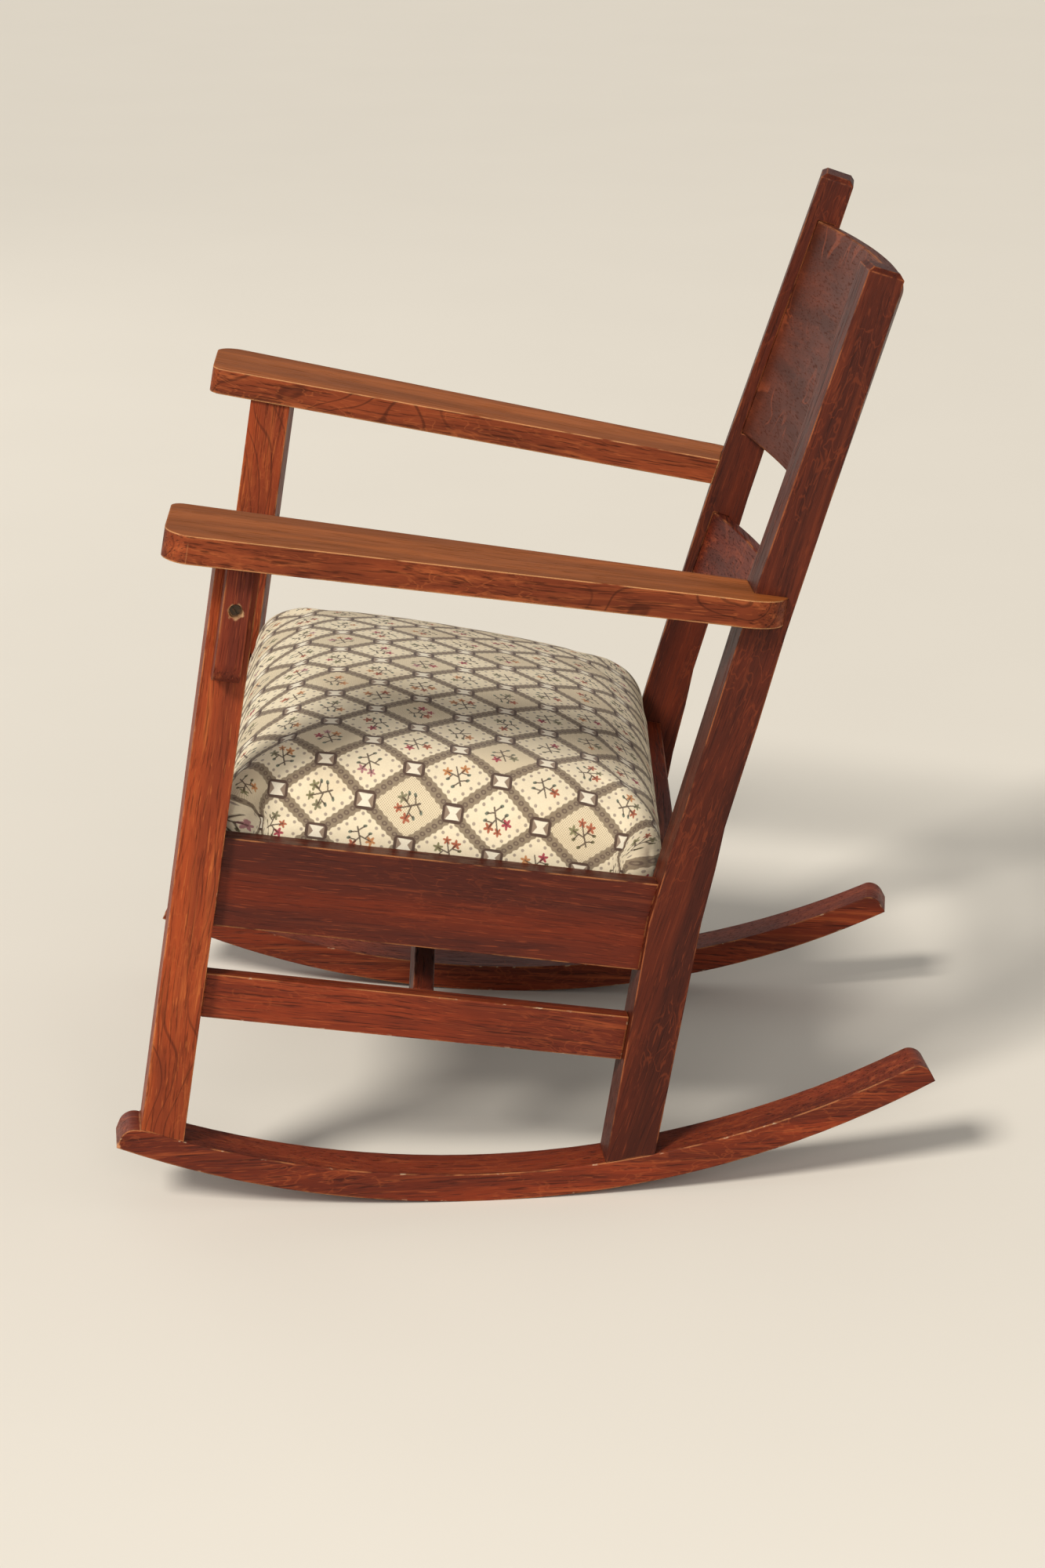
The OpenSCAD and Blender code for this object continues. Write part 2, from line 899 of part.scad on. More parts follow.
function spring_ring(t, sides) =
    let (p = spring_point(t), a = 360 * spring_turns * t)
    [for (k = [0 : sides - 1]) let (b = 360 * k / sides + 45)
        p + spring_wire / 2 * [cos(a) * cos(b), sin(a) * cos(b), sin(b)]];

module coil_spring() {
    sides = 4;
    n = spring_turns * spring_steps;
    points = [for (i = [0 : n]) each spring_ring(i / n, sides)];
    faces = concat(
        [[for (k = [0 : sides - 1]) k]],
        [for (i = [0 : n - 1], k = [0 : sides - 1])
            let(here = i * sides, next = (i + 1) * sides, turn = (k + 1) % sides)
            [here + k, next + k, next + turn, here + turn]],
        [[for (k = [sides - 1 : -1 : 0]) n * sides + k]]
    );
    polyhedron(points, faces, convexity = 6);
}

module coil_springs() {
    color(steel) seat_place() for (i = [0 : springs_per_row - 1], j = [0 : springs_per_row - 1])
        translate([(i - (springs_per_row - 1) / 2) * web_pitch_x,
            web_mid_r + (j - (springs_per_row - 1) / 2) * web_pitch_r, 0]) coil_spring();
}

burlap_t = 1.2;

module burlap_cover() {
    color([0.66, 0.55, 0.36]) difference() {
        seat_place() translate([0, 0, spring_top + 0.1]) linear_extrude(burlap_t)
            seat_plan(cover_t + 14);
        post_notches(cover_t + 14);
    }
}

// The cushion's outer form, shrunk all round by a margin: upright sides, a rolled edge and a crown
module cushion_form(m) {
    ball = cushion_round - m;
    edge = cushion_round + seat_gap;
    hull() {
        seat_place() translate([0, 0, frame_bottom]) linear_extrude(1) seat_plan(m);
        seat_place() for (side = [-1, 1], r = [seat_r0 + edge, seat_r1 - edge])
            translate([side * (seat_half(r, 0) - edge), r, cushion_edge - cushion_round])
            sphere(ball, $fn = 32);
        seat_place() translate([0, web_mid_r, cushion_edge - 40])
            scale([170, 130, cushion_crown - cushion_edge + 40 - m])
            sphere(1, $fn = 32);
    }
}

module seat_padding() {
    color([0.86, 0.80, 0.68]) difference() {
        cushion_form(cover_t + 0.4);
        seat_place() translate([-far / 2, -far / 2, spring_top + 0.1 + burlap_t + 0.1 - far]) cube(far);
        post_notches(cover_t + 0.4);
    }
}

module seat_cover() {
    color([0.85, 0.80, 0.68]) difference() {
        cushion_form(0);
        post_notches();
        difference() {
            cushion_form(cover_t);
            post_notches(cover_t);
        }
        seat_place() translate([-far / 2, -far / 2, frame_bottom - far + 0.02]) cube(far);
    }
}

module dust_cover() {
    color([0.12, 0.11, 0.10]) difference() {
        seat_place() translate([0, 0, frame_bottom - web_t - 1.2]) linear_extrude(0.8)
            seat_plan(6);
        post_notches(6);
    }
}

// Tacks through the dust cover into the seat frame, between the webbing straps
module upholstery_tacks() {
    color([0.20, 0.19, 0.18]) seat_place()
        for (i = [-2 : 2], r = [seat_r0 + 14, seat_r1 - 14])
            translate([i * web_pitch_x * 0.96 * (r < 0 ? 1 : 0.88), r, frame_bottom - web_t - 1.9])
                cylinder(h = 0.6, r = 4, $fn = 16);
}

left_runner();
right_runner();
left_front_post();
right_front_post();
left_rear_post();
right_rear_post();
left_arm();
right_arm();
left_corbel();
right_corbel();
left_side_rail();
right_side_rail();
left_side_stretcher();
right_side_stretcher();
left_seat_cleat();
right_seat_cleat();
front_rail();
back_rail();
cross_stretcher();
crest_panel();
lower_back_rail();
front_corner_blocks();
rear_corner_blocks();
corner_block_screws();
cleat_screws();
corbel_screws();
runner_screws();
arm_dowels();
seat_frame_left();
seat_frame_right();
seat_frame_front();
seat_frame_back();
webbing_lengthwise();
webbing_crosswise();
coil_springs();
burlap_cover();
seat_padding();
seat_cover();
dust_cover();
upholstery_tacks();
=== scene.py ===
import math
import bpy
import bmesh
from mathutils import Matrix, Vector


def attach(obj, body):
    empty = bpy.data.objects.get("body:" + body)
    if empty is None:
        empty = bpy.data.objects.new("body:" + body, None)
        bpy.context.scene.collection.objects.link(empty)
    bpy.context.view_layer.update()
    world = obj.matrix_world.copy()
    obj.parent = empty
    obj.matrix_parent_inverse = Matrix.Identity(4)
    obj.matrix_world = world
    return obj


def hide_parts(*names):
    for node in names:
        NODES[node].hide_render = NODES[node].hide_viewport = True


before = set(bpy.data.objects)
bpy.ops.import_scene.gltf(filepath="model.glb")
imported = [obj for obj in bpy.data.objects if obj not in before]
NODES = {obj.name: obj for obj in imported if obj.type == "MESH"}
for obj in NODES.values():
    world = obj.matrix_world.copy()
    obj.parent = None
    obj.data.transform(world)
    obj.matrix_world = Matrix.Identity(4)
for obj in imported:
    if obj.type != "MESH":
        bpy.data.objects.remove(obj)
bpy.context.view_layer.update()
SCENE = bpy.context.scene

# Angles of the chair's frame: side frames in plan, seat and front posts, back, arms
SPLAY = math.radians(5.75)
PITCH = math.radians(8.6)
BACK_LEAN = math.radians(17.85)
ARM_PITCH = math.radians(9.45)
ARM_TOE = 0.125

# Common directions of grain
ACROSS = (1, 0, 0)
ALONG = (0, 1, 0)
UP = (0, 0, 1)


# ---------------------------------------------------------------- node trees
class Tree:
    """Short names for building a material's nodes."""

    def __init__(self, name):
        self.mat = bpy.data.materials.new(name)
        self.mat.use_nodes = True
        self.t = self.mat.node_tree
        self.t.nodes.clear()
        self.out = self.t.nodes.new("ShaderNodeOutputMaterial")
        self.bsdf = self.t.nodes.new("ShaderNodeBsdfPrincipled")
        self.t.links.new(self.bsdf.outputs[0], self.out.inputs[0])

    def put(self, sock, v):
        if v is None:
            return
        if isinstance(v, bpy.types.NodeSocket):
            self.t.links.new(v, sock)
        elif isinstance(v, (tuple, list)) and len(v) == 3 and sock.type == "RGBA":
            sock.default_value = (*v, 1.0)
        else:
            sock.default_value = v

    def n(self, kind, ins=None, out=0, **props):
        nd = self.t.nodes.new(kind)
        for k, v in props.items():
            setattr(nd, k, v)
        for k, v in (ins or {}).items():
            self.put(nd.inputs[k], v)
        return nd.outputs[out]

    def m(self, op, a, b=None, c=None, clamp=False):
        nd = self.t.nodes.new("ShaderNodeMath")
        nd.operation = op
        nd.use_clamp = clamp
        for i, v in enumerate((a, b, c)):
            if v is not None:
                self.put(nd.inputs[i], v)
        return nd.outputs[0]

    def v(self, op, a, b=None, out=0, scale=None):
        nd = self.t.nodes.new("ShaderNodeVectorMath")
        nd.operation = op
        self.put(nd.inputs[0], a)
        if b is not None:
            self.put(nd.inputs[1], b)
        if scale is not None:
            self.put(nd.inputs["Scale"], scale)
        return nd.outputs[out]

    def mix(self, fac, a, b, blend="MIX"):
        nd = self.t.nodes.new("ShaderNodeMix")
        nd.data_type = "RGBA"
        nd.blend_type = blend
        nd.clamp_factor = True
        self.put(nd.inputs[0], fac)
        self.put(nd.inputs[6], a)
        self.put(nd.inputs[7], b)
        return nd.outputs[2]

    def ramp(self, fac, stops, interp="LINEAR"):
        nd = self.t.nodes.new("ShaderNodeValToRGB")
        cr = nd.color_ramp
        cr.interpolation = interp
        while len(cr.elements) < len(stops):
            cr.elements.new(0.5)
        for e, (p, c) in zip(cr.elements, stops):
            e.position = p
            e.color = (*c, 1) if isinstance(c, tuple) else (c, c, c, 1)
        self.put(nd.inputs[0], fac)
        return nd.outputs[0]

    def step(self, x, lo, hi):
        """0 below lo, 1 above hi, smooth between."""
        nd = self.t.nodes.new("ShaderNodeMapRange")
        nd.interpolation_type = "SMOOTHSTEP"
        self.put(nd.inputs[0], x)
        nd.inputs[1].default_value = lo
        nd.inputs[2].default_value = hi
        return nd.outputs[0]

    def noise(self, vec, scale, detail=3.0, rough=0.5, distort=0.0):
        return self.n("ShaderNodeTexNoise", {
            "Vector": vec, "Scale": scale, "Detail": detail, "Roughness": rough, "Distortion": distort})

    def bump(self, height, dist, strength=1.0, normal=None):
        return self.n("ShaderNodeBump", {
            "Height": height, "Distance": dist, "Strength": strength, "Normal": normal})

    def set(self, **kw):
        for k, v in kw.items():
            self.put(self.bsdf.inputs[k.replace("_", " ")], v)
        return self.mat


# ---------------------------------------------------------------- oak
WORN_OAK = (0.50, 0.20, 0.070)
CHIPPED_OAK = (0.60, 0.44, 0.28)
WEAR_RADIUS = 0.0024
GRAIN_RELIEF = 0.0004
GRAIN_WANDER = 0.030


def darker(col, share):
    return tuple(x * share for x in col)


def oak(name, along, across, base, dark, light, ray=0.35, rough=0.44, seed=0.0, wear=0.8, streak=1.0,
        chips=0.0, wear_col=WORN_OAK, cath=0.0, dash=0.3, ray_scale=(34, 95), spots=(),
        relief=0.7, spec=0.16, top=None):
    """Quarter-sawn oak, stained and worn, with a painted sheen on the up-facing faces when top is given.
    along is the grain's direction and across the width's.
    """
    t = Tree(name)
    a = Vector(along).normalized()
    b = Vector(across)
    b = (b - a * b.dot(a)).normalized()
    c = a.cross(b)
    co = t.n("ShaderNodeTexCoord", out=3)
    u = t.v("DOT_PRODUCT", co, tuple(a), out=1)
    v = t.v("DOT_PRODUCT", co, tuple(b), out=1)
    w = t.v("DOT_PRODUCT", co, tuple(c), out=1)
    local = t.n("ShaderNodeCombineXYZ", {0: u, 1: v, 2: w})
    local = t.v("ADD", local, (seed * 1.37, seed * 2.11, seed * 0.83))

    def stretched(x, y):
        return t.v("MULTIPLY", local, (x, y, y))

    wander = t.noise(stretched(3.0, 9), 1.0, 2)
    bent = t.v("ADD", local, t.v("SCALE", (0.0, GRAIN_WANDER, GRAIN_WANDER), scale=wander))

    def bent_at(x, y):
        return t.v("MULTIPLY", bent, (x, y, y))

    deep = darker(dark, 0.30)
    # Each noise has its waves per metre along the grain, then across it
    broad = t.noise(bent_at(2.0, 30), 1.0, 2, 0.55)
    bands = t.noise(bent_at(4.0, 150), 1.0, 3, 0.6)
    pores = t.noise(bent_at(17, 520), 1.0, 3, 0.6)
    fine = t.noise(bent_at(45, 1300), 1.0, 1, 0.5)
    patch = t.noise(stretched(6, 9), 1.0, 3, 0.6)
    col = t.mix(t.step(broad, 0.32, 0.68), dark, base)
    col = t.mix(t.m("MULTIPLY", t.step(bands, 0.50, 0.74), 0.50 * streak), col, light)
    col = t.mix(t.m("MULTIPLY", t.step(bands, 0.47, 0.26), 0.60 * streak), col, dark)
    col = t.mix(t.m("MULTIPLY", t.step(patch, 0.52, 0.72), 0.50), col, darker(dark, 0.75))
    pore = t.step(pores, 0.53, 0.66)
    col = t.mix(t.m("MULTIPLY", pore, 0.72 * streak), col, deep)
    col = t.mix(t.m("MULTIPLY", t.step(fine, 0.56, 0.72), 0.30), col, deep)
    dashes = t.step(t.noise(bent_at(38, 760), 1.0, 1, 0.5), 0.64, 0.72)
    col = t.mix(t.m("MULTIPLY", dashes, dash), col, light)
    if cath:
        ringed = t.m("ADD", t.m("MULTIPLY", v, 85.0), t.m("MULTIPLY", t.noise(stretched(7, 12), 1.0, 1), 9.0))
        line = t.step(t.m("ABSOLUTE", t.m("SINE", t.m("MULTIPLY", ringed, math.pi))), 0.28, 0.06)
        here = t.step(t.noise(stretched(3, 5), 1.0, 1), 0.46, 0.56)
        col = t.mix(t.m("MULTIPLY", t.m("MULTIPLY", line, here), cath), col, deep)
    # Ray fleck: short wavering flakes that lie across the grain
    rx, ry = ray_scale
    fleck_co = t.v("ADD", t.v("MULTIPLY", local, (rx, ry, ry)), t.v("SCALE", (2.2, 2.2, 2.2), scale=wander))
    fl = t.noise(fleck_co, 1.0, 2, 0.5, 0.8)
    ridge = t.m("ABSOLUTE", t.m("SUBTRACT", fl, 0.5))
    flaky = t.step(t.noise(stretched(7, 16), 1.0, 1), 0.46, 0.60)
    flake = t.m("MULTIPLY", t.step(ridge, 0.034, 0.008), flaky)
    col = t.mix(t.m("MULTIPLY", flake, ray), col, light)
    # Worn arrises, dents and rubbed patches
    flat = t.n("ShaderNodeNewGeometry", out=3)
    soft = t.n("ShaderNodeBevel", {"Radius": WEAR_RADIUS}, samples=6)
    edge = t.m("SUBTRACT", 1.0, t.v("DOT_PRODUCT", soft, flat, out=1))
    breakup = t.noise(stretched(22, 60), 1.0, 3, 0.65)
    gone = 0.22 * wear
    worn = t.m("MULTIPLY", t.step(edge, 0.008, 0.060), t.step(breakup, 0.62 - gone, 0.78 - gone))
    col = t.mix(t.m("MULTIPLY", worn, 0.8 * min(1.0, wear)), col, wear_col)
    # Painted sheen: faces turned up take a lighter, more orange colour that stands in for the light and sheen
    # on the tops
    if top:
        facing = t.v("DOT_PRODUCT", flat, UP, out=1)
        painted_top_sheen = t.mix(t.step(broad, 0.35, 0.75), darker(top, 0.60), top)
        painted_top_sheen = t.mix(t.m("MULTIPLY", pore, 0.60), painted_top_sheen, darker(top, 0.38))
        col = t.mix(t.m("MULTIPLY", t.step(facing, 0.45, 0.75), 0.84), col, painted_top_sheen)
    for place, size, tone in spots:
        d = t.v("DISTANCE", co, place, out=1)
        ragged = t.m("SUBTRACT", t.noise(stretched(160, 160), 1.0, 3), 0.5)
        d = t.m("ADD", d, t.m("MULTIPLY", ragged, size * 0.9))
        col = t.mix(t.m("MULTIPLY", t.step(d, size, size * 0.75), 0.9), col, tone)
    if chips:
        ch = t.noise(stretched(90, 120), 1.0, 2, 0.6)
        chip = t.m("MULTIPLY", t.step(edge, 0.004, 0.02), t.step(ch, 0.62, 0.68))
        col = t.mix(t.m("MULTIPLY", chip, chips), col, CHIPPED_OAK)
    rough_v = t.m("ADD", rough - 0.06, t.m("MULTIPLY", t.noise(stretched(14, 30), 1.0, 3), 0.16))
    rough_v = t.m("ADD", rough_v, t.m("MULTIPLY", pore, 0.22))
    height = t.m("SUBTRACT", t.m("MULTIPLY", bands, 0.35), t.m("MULTIPLY", pore, 0.8))
    height = t.m("ADD", height, t.m("MULTIPLY", t.noise(stretched(60, 60), 1.0, 2), 0.35))
    nrm = t.bump(height, GRAIN_RELIEF, relief, soft)
    return t.set(Base_Color=col, Roughness=rough_v, Normal=nrm, Specular_IOR_Level=spec)


def side(sign):
    """Directions of one side frame: along it, and along its front post, rear post, rail and arm."""
    al = Vector((-sign * math.sin(SPLAY), math.cos(SPLAY), 0))
    up = Vector((0, 0, 1))
    fp = al * math.sin(PITCH) + up * math.cos(PITCH)
    rp = al * math.sin(BACK_LEAN) + up * math.cos(BACK_LEAN)
    rail = al * math.cos(PITCH) - up * math.sin(PITCH)
    arm = Vector((-sign * ARM_TOE, math.cos(ARM_PITCH), -math.sin(ARM_PITCH)))
    return al, fp, rp, rail, arm


# Stains. RED is for the runners, corbels, side stretchers and the front and back rails, BRIGHT for the
# front posts, DARK for the side rails, cross stretcher and lower back rail. The arms' up-facing tops get a
# lighter colour, a painted sheen
RED = dict(base=(0.205, 0.030, 0.009), dark=(0.100, 0.016, 0.007), light=(0.40, 0.090, 0.026))
BRIGHT = dict(base=(0.320, 0.053, 0.012), dark=(0.160, 0.027, 0.009), light=(0.52, 0.145, 0.036))
DARK = dict(base=(0.118, 0.017, 0.006), dark=(0.062, 0.012, 0.007), light=(0.29, 0.058, 0.019))
POST = dict(base=(0.090, 0.0145, 0.0055), dark=(0.044, 0.0085, 0.0045), light=(0.20, 0.038, 0.012))
CREST = dict(base=(0.105, 0.022, 0.009), dark=(0.058, 0.013, 0.006), light=(0.27, 0.060, 0.022))
ARM = dict(base=(0.250, 0.050, 0.015), dark=(0.120, 0.023, 0.008), light=(0.43, 0.115, 0.034))
# Lighter colour painted on the arms' up-facing faces: a painted sheen on their tops
ARM_TOP_SHEEN = (0.42, 0.120, 0.027)


FACE_DEPTH = 0.0015


def outer_face(name, sign):
    """Middle of the outermost face of one side of a node, as it stands in the chair."""
    o = NODES[name]
    pts = [o.matrix_world @ v.co for v in o.data.vertices]
    pts = [q for q in pts if q.x * sign > 0]
    reach = max(q.x * sign for q in pts)
    pts = [q for q in pts if q.x * sign > reach - FACE_DEPTH]
    return tuple((min(q[i] for q in pts) + max(q[i] for q in pts)) / 2 for i in range(3))


WELD_GAP = 0.00002
BEVEL_ANGLE = math.radians(32)


def finish_node(name, mat, bevel=0.0018):
    """Gives a CAD node its material and softens its arrises with modifiers."""
    o = NODES[name]
    o.data.materials.clear()
    o.data.materials.append(mat)
    if bevel:
        w = o.modifiers.new("weld", "WELD")
        w.merge_threshold = WELD_GAP
        b = o.modifiers.new("arris", "BEVEL")
        b.width = bevel
        b.segments = 2
        b.limit_method = "ANGLE"
        b.angle_limit = BEVEL_ANGLE
        b.use_clamp_overlap = True
        b.harden_normals = False
        s = o.modifiers.new("smooth", "WEIGHTED_NORMAL")
        s.keep_sharp = False
    for p in o.data.polygons:
        p.use_smooth = True


# Rubbed places: the runners' front noses, and the ring round each corbel's screw
NOSE_X, NOSE_Y = 0.3445, -0.3945
NOSE_HEIGHTS = (0.070, 0.084)
NOSE_SPOT = (0.011, (0.50, 0.22, 0.10))
SCREW_RING = (0.0096, (0.42, 0.24, 0.12))

for sign, lr in ((1, "left"), (-1, "right")):
    al, fp, rp, rail, arm = side(sign)
    sd = 3.0 if sign > 0 else 8.0
    noses = [((sign * NOSE_X, NOSE_Y, z), *NOSE_SPOT) for z in NOSE_HEIGHTS]
    ring = [(outer_face("corbel_screws", sign), *SCREW_RING)]
    finish_node(lr + "_runner", oak(
        "oak_runner_" + lr, al, UP, seed=sd, wear=0.85, chips=0.6, ray=0.2, rough=0.42, spots=noses, **RED))
    finish_node(lr + "_front_post", oak(
        "oak_front_post_" + lr, fp, al, seed=sd + 1, wear=0.85, chips=0.2, ray=0.1, rough=0.46, streak=0.8,
        cath=0.55, dash=0.4, wear_col=(0.66, 0.26, 0.085), **BRIGHT))
    finish_node(lr + "_corbel", oak(
        "oak_corbel_" + lr, fp, al, seed=sd + 2, wear=0.8, ray=0.1, rough=0.5, streak=0.7, spots=ring, **RED))
    finish_node(lr + "_rear_post", oak(
        "oak_rear_post_" + lr, rp, al, seed=sd + 3, wear=0.9, ray=0.3, dash=0.35, rough=0.42, streak=0.6,
        wear_col=(0.42, 0.13, 0.045), relief=0.5, **POST))
    finish_node(lr + "_arm", oak(
        "oak_arm_" + lr, arm, ACROSS, seed=sd + 4, wear=1.4, ray=0.25, rough=0.48, streak=1.0, cath=0.6,
        wear_col=(0.74, 0.38, 0.16), top=ARM_TOP_SHEEN, spec=0.12, **ARM))
    finish_node(lr + "_side_rail", oak(
        "oak_rail_" + lr, rail, UP, seed=sd + 5, wear=1.0, ray=0.12, rough=0.38, streak=0.5, dash=0.35,
        **DARK))
    finish_node(lr + "_side_stretcher", oak(
        "oak_stretcher_" + lr, rail, UP, seed=sd + 6, wear=1.1, chips=0.7, ray=0.15, rough=0.42, **RED))
finish_node("front_rail", oak("oak_front_rail", ACROSS, UP, seed=20, ray=0.3, rough=0.38, **RED))
finish_node("back_rail", oak("oak_back_rail", ACROSS, UP, seed=21, ray=0.2, rough=0.40, **RED))
finish_node("cross_stretcher", oak("oak_cross", ACROSS, UP, seed=22, ray=0.2, rough=0.45, **DARK))
finish_node("crest_panel", oak(
    "oak_crest", ACROSS, UP, seed=23, ray=0.42, rough=0.44, streak=0.35, wear=0.9, dash=0.1,
    ray_scale=(30, 11), relief=0.12, spec=0.22, **CREST), 0.0022)
finish_node("lower_back_rail", oak(
    "oak_lower_rail", ACROSS, UP, seed=24, ray=0.40, rough=0.42, ray_scale=(30, 14), relief=0.2,
    **DARK), 0.002)


# ---------------------------------------------------------------- plain woods, metal, cloths
RUST = (0.12, 0.060, 0.030)


def pine(name, along):
    """Sawn softwood, unfinished."""
    t = Tree(name)
    co = t.n("ShaderNodeTexCoord", out=3)
    a = Vector(along).normalized()
    k = [6 if abs(x) > 0.6 else 90 for x in a]
    rings = t.noise(t.v("MULTIPLY", co, tuple(k)), 1.0, 3, 0.6)
    fine = t.noise(t.v("MULTIPLY", co, tuple(x * 8 for x in k)), 1.0, 2, 0.6)
    col = t.mix(rings, (0.36, 0.22, 0.11), (0.60, 0.43, 0.25))
    col = t.mix(t.m("MULTIPLY", t.step(fine, 0.5, 0.8), 0.4), col, (0.26, 0.14, 0.07))
    return t.set(Base_Color=col, Roughness=0.72, Normal=t.bump(fine, 0.0003, 0.5))


def steel(name, base=(0.32, 0.30, 0.27), rust=0.5):
    """Scratched steel with rust spots."""
    t = Tree(name)
    co = t.n("ShaderNodeTexCoord", out=3)
    spots = t.noise(co, 420.0, 4, 0.65)
    col = t.mix(t.m("MULTIPLY", t.step(spots, 0.48, 0.7), rust), base, RUST)
    scratch = t.noise(t.v("MULTIPLY", co, (300, 2500, 900)), 1.0, 2)
    r = t.m("ADD", 0.30, t.m("MULTIPLY", spots, 0.3))
    return t.set(Base_Color=col, Metallic=0.9, Roughness=r, Normal=t.bump(scratch, 0.0001, 0.5))


def weave(name, light, dark, pitch, rough=0.9, sheen=0.3):
    """A plain over-and-under cloth in world units."""
    t = Tree(name)
    co = t.n("ShaderNodeTexCoord", out=3)
    xyz = t.t.nodes.new("ShaderNodeSeparateXYZ")
    t.put(xyz.inputs[0], co)
    k = 2 * math.pi / pitch
    wx = t.m("SINE", t.m("MULTIPLY", xyz.outputs[0], k))
    wy = t.m("SINE", t.m("MULTIPLY", xyz.outputs[1], k))
    h = t.m("MULTIPLY", t.m("ABSOLUTE", wx), t.m("ABSOLUTE", wy))
    slub = t.noise(t.v("MULTIPLY", co, (40, 400, 200)), 1.0, 2)
    col = t.mix(t.m("ADD", t.m("MULTIPLY", h, 0.7), t.m("MULTIPLY", slub, 0.4), clamp=True), dark, light)
    return t.set(Base_Color=col, Roughness=rough, Sheen_Weight=sheen, Sheen_Roughness=0.5,
                 Normal=t.bump(h, 0.0006, 0.8))


pine_x = pine("pine_cross", ACROSS)
pine_y = pine("pine_side", ALONG)
for n in ("left_seat_cleat", "right_seat_cleat", "seat_frame_left", "seat_frame_right"):
    finish_node(n, pine_y, 0.001)
for n in ("front_corner_blocks", "rear_corner_blocks", "seat_frame_front", "seat_frame_back", "arm_dowels"):
    finish_node(n, pine_x, 0 if n == "arm_dowels" else 0.001)
steel_mat = steel("screw_steel")
for n in ("corner_block_screws", "cleat_screws", "runner_screws"):
    finish_node(n, steel_mat, 0)
# The corbel screws' very dark brown is partly a bronzed finish and partly painted shade of the counterbore
# they sit in
finish_node("corbel_screws", steel("screw_bronzed_shaded", (0.050, 0.036, 0.025), 0.6), 0)
finish_node("coil_springs", steel("spring_steel", (0.22, 0.21, 0.20), 0.7), 0)
finish_node("upholstery_tacks", steel("tack_steel", (0.10, 0.10, 0.10), 0.3), 0)
# Each hidden cloth: its piece, material, light and dark thread, and the weave's pitch in metres
for n, cloth_name, light, dark, pitch in (
        ("webbing_lengthwise", "jute_lengthwise", (0.52, 0.40, 0.22), (0.22, 0.15, 0.07), 0.004),
        ("webbing_crosswise", "jute_crosswise", (0.50, 0.38, 0.20), (0.20, 0.13, 0.06), 0.004),
        ("burlap_cover", "burlap", (0.45, 0.33, 0.17), (0.16, 0.10, 0.05), 0.0036),
        ("dust_cover", "black_cambric", (0.030, 0.028, 0.027), (0.008, 0.007, 0.007), 0.0016)):
    finish_node(n, weave(cloth_name, light, dark, pitch), 0)


# ---------------------------------------------------------------- tapestry
# Millimetres. Half the pattern's repeat across and along the seat, where it starts, and its lean
PU, PV = 34.0, 41.9
SHIFT_U, SHIFT_V, LEAN = -317.7, 119.4, -0.03
STITCH = 0.62
# Band along each edge of a medallion, and the beads on it
BAND_OUT, BAND_IN, BAND_RIPPLE = 5.5, 4.8, 0.55
BEADS = 8
BEAD_R = 1.75
# Link at each crossing: half its height and width, where its corners are cut, and its border
LINK_V, LINK_U, LINK_CUT = 10.4, 8.2, 15.6
LINK_IN, LINK_OUT = -2.6, -3.0
WAIST, WAIST_SLOPE = 2.8, 0.75
DOT_OUT, DOT_IN = 1.9, 1.2
NET_PITCH = 2.48
SPRIG_TURN, SPRIG_SIZE = 0.35, 0.93
# The sprig's stems from x, y to x, y with half their width, then each flower's place and size
STEMS = ((0, -10, 0.5, 1, 0.75), (0, -2, -7, 4, 0.65), (0, -1, 7, 3, 0.65), (0.5, 1, 1, 8, 0.6),
         (0, -7, -6, -9, 0.6), (0, -6, 6.5, -7, 0.6), (-4, 1.5, -9, -1.5, 0.6), (4, 1, 9.5, -2, 0.6))
FLOWERS = ((-8, 5, 4.3), (8, 4, 4.3), (1.2, 9.5, 3.6))
LEAVES = ((-6.8, -9.3), (7.2, -7.2), (9.8, -2.4), (-9.4, -1.8))
PETALS = 5.0
THREADS = [(0.0, (0.42, 0.13, 0.07)), (0.25, (0.55, 0.25, 0.10)), (0.45, (0.40, 0.07, 0.09)),
           (0.62, (0.24, 0.22, 0.13)), (0.80, (0.25, 0.23, 0.12)), (0.92, (0.45, 0.22, 0.22))]
CREAM, NET_CREAM = (0.84, 0.735, 0.535), (0.73, 0.62, 0.43)
DOT_BROWN = (0.40, 0.33, 0.26)
NET_HOLE, NET_THREAD = (0.30, 0.205, 0.12), (0.88, 0.79, 0.63)
EYE, STEM_BROWN = (0.10, 0.05, 0.04), (0.075, 0.045, 0.032)
BAND_DARK, BAND_LIGHT = (0.235, 0.178, 0.118), (0.350, 0.280, 0.192)
BEAD_BROWN, LINK_BROWN = (0.14, 0.095, 0.075), (0.105, 0.065, 0.048)
LINK_TAN, LINK_CREAM = (0.30, 0.22, 0.16), (0.84, 0.77, 0.62)
LEAF_A, LEAF_B = (0.17, 0.15, 0.08), (0.17, 0.19, 0.14)
YELLOWED, SHADED = (0.52, 0.36, 0.17), (0.62, 0.58, 0.52)


